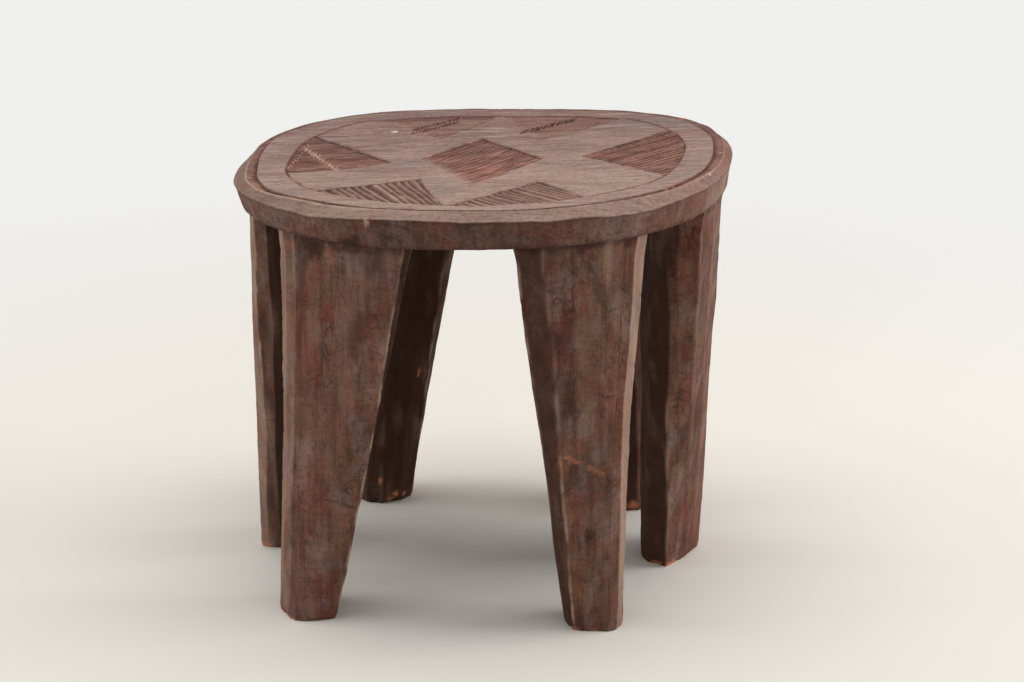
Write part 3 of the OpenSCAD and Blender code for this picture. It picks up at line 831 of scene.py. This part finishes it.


# Each leg: the corners of its top by azimuth and distance in from that edge, those of its foot on the floor,
# how far its clockwise and anticlockwise sides draw in half-way up, the azimuth that it faces, and which of
# its facets get painted light (above 0) or painted shade (below 0)
LEGS = {
    "leg_front_left": {
        "top": [(-144.5, 6), (-139.5, 0), (-135.7, 0), (-132.7, 0), (-123, 0), (-114, 0), (-107, 0),
                (-109.2, 8), (-110.5, 24), (-110, 40), (-116, 54), (-130, 55), (-140, 47), (-145, 26)],
        "foot": [(-143.5, -104), (-140, -111), (-134.5, -121), (-130, -127), (-122, -129.5), (-111, -126),
                 (-100, -122), (-101.5, -113), (-102, -100), (-104, -88), (-110, -81), (-124, -80),
                 (-136, -86), (-142.5, -94)],
        "waist": (3.5, -3.5), "at": -127, "painted_facet_light_and_shade": {0: 0.3, 1: 0.15, 2: -0.25, 4: 0.05},
    },
    "leg_front_right": {
        "top": [(-81.7, 14), (-75.7, 0), (-68.7, 0), (-61, 0), (-56.5, 0), (-53.3, 0), (-48, 8), (-48, 24),
                (-51, 42), (-58, 55), (-70, 55), (-78, 42), (-80.3, 28)],
        "foot": [(55.5, -131), (61.8, -142.7), (70, -144.3), (80, -145.5), (87, -145.5), (92.5, -141),
                 (97, -132), (98, -119), (92, -108), (82, -103), (67, -104), (58, -110), (54.5, -120)],
        "waist": (0, 2.5), "at": -67.5, "painted_facet_light_and_shade": {0: -0.7, 1: -0.15, 2: 0.04, 3: 0.06, 4: -0.12, 5: 0.4},
    },
    "leg_right": {
        "top": [(-30, 40), (-30, 26.5), (-30, 16), (-28.2, 0), (-18.2, 0), (-5, 0), (7, 0), (13.5, 4),
                (15.5, 20), (15, 38), (8, 54), (-8, 56), (-22, 52)],
        "foot": [(118, -21), (132, -31), (139.5, -22), (147, -11), (153.5, 1), (159, 11), (160, 20),
                 (154, 28), (145, 31), (132, 30), (120, 21), (114, 5), (113.5, -10)],
        "waist": (0, 2), "at": -2, "rubbed": 0.4, "painted_facet_light_and_shade": {3: -0.2, 4: 0.05, 5: -0.05, 6: 0.4},
    },
    "leg_back_right": plain_leg(54, 44, 23, 44, {5: 0.2}),
    "leg_back_left": plain_leg(110, 123, 35, 130, {9: 0.1, 10: 0.45, 11: 0.45}),
    "leg_left": {
        "top": [(163, 8), (169, 5), (178, 4), (187, 4), (193, 6), (194.5, 16), (193, 36), (186, 54),
                (171, 55), (163, 45), (160, 26)],
        "foot": [(-152, 48), (-163, 40), (-167.5, 27), (-166, 12), (-159, 7), (-150, 6.5), (-134, 8),
                 (-125, 17), (-124, 33), (-131, 45), (-141, 50)],
        "waist": (0, 3), "at": 178.5, "painted_facet_light_and_shade": {2: 0.4, 3: 0.32, 4: 0.15},
    },
}


def under_plane(x):
    """The height of the seat's underside above a place on the floor."""
    return SEAT_HEIGHT - SEAT_THICK / math.cos(SEAT_SLOPE) + x * math.tan(SEAT_SLOPE)


def strokes(seed, z, low, high, deep):
    """How far the hollow marks of a tool, low to high long, cut into one facet at the heights."""
    past_top = 300
    rng = np.random.default_rng(seed)
    ends = steps(rng, -rng.uniform(0, high), past_top, low, high)
    k, share = in_steps(ends, z)
    hollow = rng.uniform(0.3, 1, len(ends))[k] * arch(share)
    return deep * (hollow + rng.uniform(-0.5, 0.5, len(ends))[k])


def sides_of(corners):
    """The widths of the sides between corners at each height, and the directions in which they face."""
    side = np.roll(corners, -1, axis=1) - corners
    width = np.linalg.norm(side, axis=2)
    return width, np.stack([side[..., 1], -side[..., 0]], axis=2) / width[..., None]


def leg_corners(leg, seed, height, calm):
    """The corners of a leg at each height."""
    top = np.array([leg_point(*corner) for corner in leg["top"]])
    foot = np.array(leg["foot"], float)
    across = turn([(0, 1)], math.radians(leg["at"]))[0]
    share = (top - top.mean(axis=0)) @ across
    share = np.clip(share / np.abs(share).max() * 1.2, -1, 1)
    waist = np.where(share < 0, *leg["waist"])
    drawn = -(share * waist)[None, :, None] * across * arch(height)[:, None, None]
    corners = foot + (top - foot) * height[:, None, None] + drawn

    # Each side moves in and out and tilts, and the corners follow where the sides meet
    width, normal = sides_of(corners)
    off = np.zeros_like(width)
    tilt = np.zeros_like(width)
    z = height * LEG_H
    key = np.column_stack([0 * z, z])
    for k in range(len(top)):
        off[:, k] = -0.7 + 0.5 * waves(seed + k * 5, key, 120)
        off[:, k] -= strokes(seed + k * 5 + 1, z, 35, 95, 0.35)
        tilt[:, k] = 0.035 * waves(seed + k * 5 + 2, key, 110) * width[:, k] / 2
    start, end = (off - tilt) * calm, (off + tilt) * calm
    before_n, before_e = np.roll(normal, 1, axis=1), np.roll(end, 1, axis=1)
    matrix = before_n[..., :, None] * before_n[..., None, :] + normal[..., :, None] * normal[..., None, :]
    matrix = matrix + 0.06 * np.eye(2)
    wanted = before_n * before_e[..., None] + normal * start[..., None]
    return corners + np.linalg.solve(matrix, wanted[..., None])[..., 0]


def leg_marks(leg, noise, height, arris, facing):
    """A leg's marks: rubbed arrises, painted light and shade on facets, painted shade on inner faces and
    under the seat.
    """
    rubbed = np.clip(0.35 + 0.6 * noise(220, 11, 2), 0.05, 0.9) * leg.get("rubbed", 1)
    painted_facet_light_and_shade = np.array([leg["painted_facet_light_and_shade"].get(k, 0) for k in range(len(leg["top"]))])
    painted_facet_light_and_shade = np.repeat(painted_facet_light_and_shade, arris.shape[1] // len(painted_facet_light_and_shade)) + 0.08 * noise(290, 12, 4)
    # Painted shade on the faces that look inwards, between the legs, except on paler facets
    inner = smooth(0.5, -0.25, facing) * smooth(0.3, 0, painted_facet_light_and_shade)
    marks = {mark: np.zeros(arris.shape) for mark in MARKS}
    # Rubbed arrises, and painted light on the paler facets
    marks["wear"] = np.maximum(arris * rubbed, np.clip(painted_facet_light_and_shade, 0, 1) * (1 - inner))
    # A painted shadow of the seat along the top of the leg
    marks["dirt"] = 0.9 * smooth(0.972, 0.992, height[:, None] + 0.008 * noise(280, 9))
    # Painted shade on the inner faces and on the darker facets
    marks["stain"] = np.maximum(inner, np.clip(-painted_facet_light_and_shade, 0, 1))
    # The middles of the sole and of the head come last
    return {mark: np.concatenate([values.ravel(), [0, 0]]) for mark, values in marks.items()}


def leg_faces(around):
    """A leg's faces: row on row, then the sole and the head, each about its middle point."""
    last = (LEG_ROWS - 1) * around
    sole = last + around
    head = sole + 1
    faces = []
    for a in range(0, last, around):
        b = a + around
        faces += [(a + i, a + j, b + j, b + i) for i, j in pairs(around)]
    for i, j in pairs(around):
        faces += [(sole, j, i), (head, last + i, last + j)]
    return faces


def leg_mesh(name, number, material):
    leg = LEGS[name]
    height = np.linspace(0, 1, LEG_ROWS)
    # The tool's marks end just under the seat
    calm = (1 - smooth(0.94, 1.0, height))[:, None]
    corners = leg_corners(leg, number * 97, height, calm)

    # Points across each side, close together beside the corners
    width, normal = sides_of(corners)
    near = np.clip(0.8 / width, 0.02, 0.2)[..., None]
    inner = near + (1 - 2 * near) * np.linspace(0, 1, 9)
    s = np.concatenate([0 * near, inner], axis=2)
    following = np.roll(corners, -1, axis=1)
    line = between(corners[:, :, None, :], following[:, :, None, :], s[..., None])

    # Where an arris is sharp, and how near to it each point lies
    turning = 1 - (normal * np.roll(normal, 1, axis=1)).sum(axis=2)
    sharp = smooth(0.12, 0.5, np.stack([turning, np.roll(turning, -1, axis=1)], axis=2))
    from_corner = np.minimum(s, 1 - s) * width[..., None]
    arris = np.where(s < 0.5, sharp[..., :1], sharp[..., 1:]) * smooth(2.0, 0.2, from_corner)

    # From here on all points of a height are in one row
    per_side = s.shape[2]
    s, arris = s.reshape(LEG_ROWS, -1), arris.reshape(LEG_ROWS, -1)
    line = line.reshape(LEG_ROWS, -1, 2)
    width, normal = np.repeat(width, per_side, axis=1), np.repeat(normal, per_side, axis=1)
    z = np.broadcast_to(height[:, None] * LEG_H, s.shape)

    def noise(seed, size, stretch=1):
        return waves(seed + number, place / [1, 1, stretch], size).reshape(s.shape)

    # Chipped arrises, hollow facets and fine unevenness
    place = np.dstack([line, z]).reshape(-1, 3)
    chips = 0.7 * np.clip(noise(270, 4.5) - 0.5, 0, 1.2) * arris
    hollow = 0.012 * width * arch(s) + np.where(s == 0, 0.3, 0) + chips
    line = line - normal * (hollow * calm)[..., None]
    place = np.dstack([line, z]).reshape(-1, 3)
    fine = 0.14 * noise(160, 7, 2.2) + 0.2 * noise(190, 26, 2)
    line = line - normal * (fine * calm)[..., None]

    # The bruised edge of the sole
    bruised = 0.6 + np.clip(noise(250, 9), 0, 2)
    middle = line.mean(axis=1, keepdims=True)
    away = line - middle
    drawn_in = bruised * 1.6 * smooth(0.014, 0.0, height)[:, None] / np.linalg.norm(away, axis=2)
    line = middle + away * (1 - drawn_in)[..., None]
    rise = by_azimuth(np.arctan2(line[..., 1], line[..., 0]), EDGE_RISE)
    points = np.dstack([line, height[:, None] * (under_plane(line[..., 0]) + 1.0 + rise)])

    middles = [points[0].mean(axis=0) * [1, 1, 0], points[-1].mean(axis=0)]
    points = np.concatenate([points.reshape(-1, 3), middles])

    outwards = line / np.linalg.norm(line, axis=2, keepdims=True)
    marks = leg_marks(leg, noise, height, arris, (normal * outwards).sum(axis=2))
    add_spots(points, marks)
    faces = leg_faces(s.shape[1])
    return make_piece("carved_" + name, points, faces, marks, material, [name], sharp=10)


# The wood

def srgb(r, g, b):
    """A colour given as it looks on a screen, from 0 to 255."""
    return tuple(((c / 255 + 0.055) / 1.055) ** 2.4 if c > 10 else c / 255 / 12.92 for c in (r, g, b)) + (1,)


class Surface:
    """A node material, built from short steps."""

    def __init__(self, name):
        self.material = bpy.data.materials.new(name)
        self.material.use_nodes = True
        self.tree = self.material.node_tree
        self.shader = self.tree.nodes["Principled BSDF"]
        self.place = self.new("TexCoord").outputs["Object"]

    def new(self, kind):
        return self.tree.nodes.new("ShaderNode" + kind)

    def feed(self, node, inputs):
        """Links or sets a node's inputs. It gives the node's first output."""
        for name, value in inputs.items():
            if isinstance(value, bpy.types.NodeSocket):
                self.tree.links.new(value, node.inputs[name])
            else:
                node.inputs[name].default_value = value
        return node.outputs[0]

    def axes(self, place):
        apart = self.new("SeparateXYZ")
        self.feed(apart, {0: place})
        return apart.outputs

    def math(self, operation, a, b=0.0):
        made = self.new("Math")
        made.operation = operation
        return self.feed(made, {0: a, 1: b})

    def scaled(self, place, size, stretch):
        """A place in units of a size in metres, which a stretch draws out along the axes."""
        scale = tuple(1 / (size * s) for s in stretch)
        return self.feed(self.new("Mapping"), {"Vector": place, "Scale": scale})

    def noise(self, size, detail=3.0, stretch=(1, 1, 1), roughness=0.5):
        """Noise with features of a size in metres, drawn out along the axes by a stretch."""
        place = self.scaled(self.place, size, stretch)
        inputs = {"Vector": place, "Scale": 1.0, "Detail": detail, "Roughness": roughness}
        return self.feed(self.new("TexNoise"), inputs)

    def cracks(self, size, stretch, width):
        """Wandering lines as wide as a share of their size: 1 on them, 0 off them."""
        bent = self.new("TexNoise")
        self.feed(bent, {"Vector": self.place, "Scale": 0.5 / size, "Detail": 4.0})
        moved = self.new("VectorMath")
        moved.operation = "MULTIPLY_ADD"
        self.feed(moved, {0: bent.outputs["Color"], 1: (1.4 * size,) * 3, 2: self.place})
        made = self.new("TexVoronoi")
        made.feature = "DISTANCE_TO_EDGE"
        self.feed(made, {"Vector": self.scaled(moved.outputs[0], size, stretch), "Scale": 1.0})
        return self.range(made.outputs["Distance"], width, 0.0)

    def range(self, value, low, high, to_low=0.0, to_high=1.0):
        """A value carried from one range to another, with soft ends, and kept within it."""
        made = self.new("MapRange")
        made.interpolation_type = "SMOOTHSTEP"
        ends = {"From Min": low, "From Max": high, "To Min": to_low, "To Max": to_high}
        return self.feed(made, {"Value": value, **ends})

    def mark(self, name):
        made = self.new("Attribute")
        made.attribute_name = name
        return made.outputs["Fac"]

    def mix(self, share, a, b):
        made = self.new("Mix")
        made.data_type = "RGBA"
        self.feed(made, {"Factor": share, "A": a, "B": b})
        return made.outputs["Result"]

    def tint(self, colour, pattern, low, high, share, over, least=0.0):
        """A colour with another over it, up to a share, as a pattern goes from low to high."""
        return self.mix(self.range(pattern, low, high, least, share), colour, srgb(*over))

    def finish(self, colour, roughness, height, strength, distance):
        """The material, with fine bumps as a pattern gives their height."""
        bumped = self.feed(self.new("Bump"), {"Strength": strength, "Distance": distance, "Height": height})
        inputs = {"Normal": bumped, "Base Color": colour, "Roughness": roughness}
        self.feed(self.shader, {**inputs, "Specular IOR Level": 0.15})
        return self.material


def seat_wood():
    wood = Surface("seat_wood")
    patchy = wood.math("MULTIPLY", wood.math("SUBTRACT", wood.noise(0.06), 0.5), 0.3)
    nearness = wood.range(wood.math("SUBTRACT", patchy, wood.axes(wood.place)["Y"]), -0.11, 0.1)
    colour = wood.mix(nearness, srgb(142, 113, 105), srgb(178, 148, 134))
    colour = wood.tint(colour, wood.noise(0.05, 4, (1.6, 1, 1)), 0.52, 0.68, 0.6, (136, 124, 117))
    colour = wood.tint(colour, wood.noise(0.022, 5, (2.2, 1, 1)), 0.52, 0.66, 0.5, (168, 128, 118))
    colour = wood.tint(colour, wood.noise(0.009, 4, (5, 1, 1), 0.6), 0.5, 0.68, 0.55, (182, 162, 148))
    lines = wood.noise(0.0032, 4, (10, 1, 1), 0.6)
    colour = wood.tint(colour, lines, 0.5, 0.68, 0.5, (112, 84, 76))
    colour = wood.tint(colour, lines, 0.48, 0.3, 0.55, (200, 172, 156))

    # Carved fields, darker at the far side
    patches = wood.range(wood.noise(0.014, 4, (2, 1, 1)), 0.4, 0.62)
    far_cut = wood.mix(patches, srgb(102, 62, 56), srgb(130, 84, 75))
    near_cut = wood.mix(patches, srgb(134, 87, 76), srgb(176, 118, 101))
    colour = wood.mix(wood.mark("cut"), colour, wood.mix(nearness, far_cut, near_cut))

    # The side, rasped across
    side = side_colour(wood, (1.5, 1.5, 1))
    rasp = wood.noise(0.003, 5, (1, 1, 5), 0.65)
    side = wood.tint(side, rasp, 0.5, 0.66, 0.5, (56, 41, 35))
    side = wood.tint(side, rasp, 0.52, 0.3, 0.5, (134, 116, 104), least=0.1)
    colour = wood.mix(wood.mark("side"), colour, side)

    # Fine grain, on the top only, then smudges and specks
    grain = wood.noise(0.0016, 4, (16, 1, 1), 0.6)
    on_top = wood.range(wood.mark("side"), 0.05, 0.3, 1, 0)
    dark_grain = wood.math("MULTIPLY", wood.range(grain, 0.5, 0.75, 0, 0.45), on_top)
    colour = wood.mix(dark_grain, colour, srgb(84, 60, 52))
    pale_grain = wood.math("MULTIPLY", wood.range(grain, 0.5, 0.25, 0, 0.25), on_top)
    colour = wood.mix(pale_grain, colour, srgb(190, 164, 150))
    colour = wood.tint(colour, wood.noise(0.016, 5), 0.6, 0.78, 0.35, (84, 62, 56))
    colour = speckled(wood, colour, (2, 1, 1), 0.25)
    return wear_dirt_painted_light_and_shade(wood, colour, grain, 0.25, 0.0004)


def speckled(wood, colour, stretch, pale):
    """Fine dark pits and pale specks."""
    fine = wood.noise(0.0017, 6, stretch, 0.8)
    colour = wood.tint(colour, fine, 0.5, 0.62, 0.5, (64, 45, 39))
    return wood.tint(colour, fine, 0.46, 0.3, pale, (206, 180, 164))


# Patches in the darker wood, one over the other: the size, detail and roughness of the noise, where in it
# they begin and are full, how much they cover, and their colour
DARK_WOOD_PATCHES = (
    (0.03, 5, 0.5, 0.5, 0.66, 0.75, (146, 116, 104)),
    (0.022, 5, 0.5, 0.48, 0.66, 0.6, (70, 49, 40)),
    (0.013, 5, 0.6, 0.48, 0.64, 0.75, (126, 68, 54)),
    (0.016, 5, 0.6, 0.5, 0.66, 0.55, (132, 110, 105)),
    (0.007, 6, 0.65, 0.52, 0.68, 0.55, (62, 42, 36)),
)


def side_colour(wood, stretch):
    """The darker wood of the seat's side and of the legs: brown and red-brown, with pale and dark parts."""
    brown_or_red = wood.range(wood.noise(0.045, 4, stretch), 0.4, 0.62)
    colour = wood.mix(brown_or_red, srgb(120, 88, 71), srgb(126, 78, 63))
    for size, detail, roughness, low, high, share, over in DARK_WOOD_PATCHES:
        colour = wood.tint(colour, wood.noise(size, detail, stretch, roughness), low, high, share, over)
    return colour


def leg_wood():
    wood = Surface("leg_wood")
    colour = side_colour(wood, (1, 1, 1.5))
    streaks = wood.noise(0.004, 4, (1, 1, 12), 0.6)
    colour = wood.tint(colour, streaks, 0.5, 0.66, 0.5, (76, 52, 43))
    colour = wood.tint(colour, streaks, 0.48, 0.3, 0.2, (156, 122, 108))
    across = wood.noise(0.0026, 5, (4, 4, 1), 0.65)
    colour = wood.tint(colour, across, 0.5, 0.68, 0.4, (72, 50, 42))
    colour = wood.tint(colour, wood.noise(0.0016, 4, (1, 1, 10), 0.6), 0.5, 0.75, 0.25, (66, 46, 38))
    cracked = wood.range(wood.noise(0.02, 4), 0.48, 0.62, 0, 0.6)
    cracks = wood.math("MULTIPLY", wood.cracks(0.011, (1, 1, 1.7), 0.05), cracked)
    colour = wood.mix(cracks, colour, srgb(48, 32, 27))
    return wear_dirt_painted_light_and_shade(wood, speckled(wood, colour, (1, 1, 1.2), 0.08), across, 0.35, 0.0006)


def wear_dirt_painted_light_and_shade(wood, colour, grain, strength, distance):
    """Dirt, stains, rubbed arrises, fresh wood and flecks as the mesh marks them, with painted light and
    shade.
    """
    # The dirt and stain marks also bring painted shade, and the wear mark painted light
    stain = wood.math("MULTIPLY", wood.mark("stain"), 0.85)
    colour = wood.mix(wood.math("MULTIPLY", wood.mark("dirt"), 0.85), colour, srgb(60, 33, 28))
    colour = wood.mix(stain, colour, srgb(58, 38, 28))
    broken = wood.range(wood.noise(0.0022, 5, roughness=0.7), 0.4, 0.6, 0.6, 0.85)
    colour = wood.mix(wood.math("MULTIPLY", wood.mark("wear"), broken), colour, srgb(210, 180, 158))
    colour = wood.mix(wood.mark("raw"), colour, srgb(205, 128, 92))
    colour = wood.mix(wood.mark("fleck"), colour, srgb(230, 222, 212))
    uneven = wood.range(wood.noise(0.03), 0.3, 0.7, 0.66, 0.8)
    rough = wood.math("ADD", uneven, wood.math("MULTIPLY", stain, 0.15))
    return wood.finish(colour, rough, grain, strength, distance)


# The studio

PAPER_WHITE = srgb(240, 240, 238)


def blend(tree, share, first, second, output):
    """Puts a mix of two shaders on the surface of an output node."""
    made = tree.nodes.new("ShaderNodeMixShader")
    for socket, source in zip(made.inputs, (share, first, second)):
        tree.links.new(source, socket)
    tree.links.new(made.outputs[0], tree.nodes[output].inputs["Surface"])


def studio_paper():
    """Pale paper, which away from the stool looks evenly white to the camera however it is lit."""
    # Metres from the stool's middle
    near, far = 0.3, 1.25
    paper = Surface("studio_paper")
    paper.feed(paper.shader, {"Base Color": srgb(246, 241, 232), "Roughness": 0.9})
    axes = paper.axes(paper.new("NewGeometry").outputs["Position"])
    squares = [paper.math("POWER", paper.math("ABSOLUTE", axes[axis]), 2.0) for axis in "XY"]
    away = paper.math("SQRT", paper.math("ADD", *squares))
    seen = paper.new("LightPath").outputs["Is Camera Ray"]
    share = paper.math("MULTIPLY", paper.range(away, near, far), seen)
    white = paper.feed(paper.new("Emission"), {"Color": PAPER_WHITE})
    blend(paper.tree, share, paper.shader.outputs[0], white, "Material Output")
    return paper.material


def studio():
    """A pale floor that curves up into a backdrop, in metres."""
    depth, front, rise, reach = 3.4, -3.6, 3.4, 4.2
    bend, parts = 1.0, 12
    profile = [(front, 0.0), (depth - bend, 0.0)]
    for k in range(1, parts + 1):
        a = k / parts * math.pi / 2
        profile.append((depth - bend + bend * math.sin(a), bend * (1 - math.cos(a))))
    profile.append((depth, rise))
    points = [(x, y, z) for y, z in profile for x in (-reach, reach)]
    faces = [(2 * i, 2 * i + 1, 2 * i + 3, 2 * i + 2) for i in range(len(profile) - 1)]
    mesh = bpy.data.meshes.new("studio")
    mesh.from_pydata(points, [], faces)
    mesh.materials.append(studio_paper())
    mesh.shade_smooth()
    add_object("studio", mesh)


def softbox(name, place, size, power):
    """A rectangular lamp that points at the stool, in metres and watts."""
    stool = Vector((0, 0, 0.2))
    light = bpy.data.lights.new(name, "AREA")
    light.shape = "RECTANGLE"
    light.size, light.size_y = size
    light.energy = power
    made = add_object(name, light)
    made.location = place
    made.rotation_euler = (stool - Vector(place)).to_track_quat("-Z", "Y").to_euler()


def studio_air():
    """Even light from all round, which looks to the camera as pale as the paper."""
    world = bpy.data.worlds.new("studio_air")
    world.use_nodes = True
    nodes = world.node_tree.nodes
    lit = nodes["Background"]
    lit.inputs["Color"].default_value = (1, 1, 1, 1)
    lit.inputs["Strength"].default_value = 0.3
    white = nodes.new("ShaderNodeBackground")
    white.inputs["Color"].default_value = PAPER_WHITE
    seen = nodes.new("ShaderNodeLightPath").outputs["Is Camera Ray"]
    blend(world.node_tree, seen, lit.outputs[0], white.outputs[0], "World Output")
    bpy.context.scene.world = world


def camera():
    """The photograph's view, as fitted: its focal length is 2600 pixels of a picture 1024 wide."""
    focal, picture_w = 2600, 1024
    data = bpy.data.cameras.new("photo_view")
    data.sensor_width = 36
    data.lens = focal / picture_w * data.sensor_width
    made = add_object("photo_view", data)
    made.location = (0.0201, -1.7758, 0.7259)
    made.rotation_euler = (math.radians(72.4), 0, 0)
    bpy.context.scene.camera = made


# The scene

seat_mesh(seat_wood())
legs_finish = leg_wood()
for number, name in enumerate(LEGS):
    leg_mesh(name, number, legs_finish)
studio()
studio_air()
softbox("top_softbox", (0.0, 0.1, 2.8), (2.6, 2.4), 40)
softbox("left_softbox", (-2.0, 0.0, 0.8), (1.2, 1.4), 12.5)
softbox("right_softbox", (2.0, 0.1, 0.8), (1.2, 1.4), 22)
camera()
bpy.context.scene.view_settings.view_transform = "Standard"
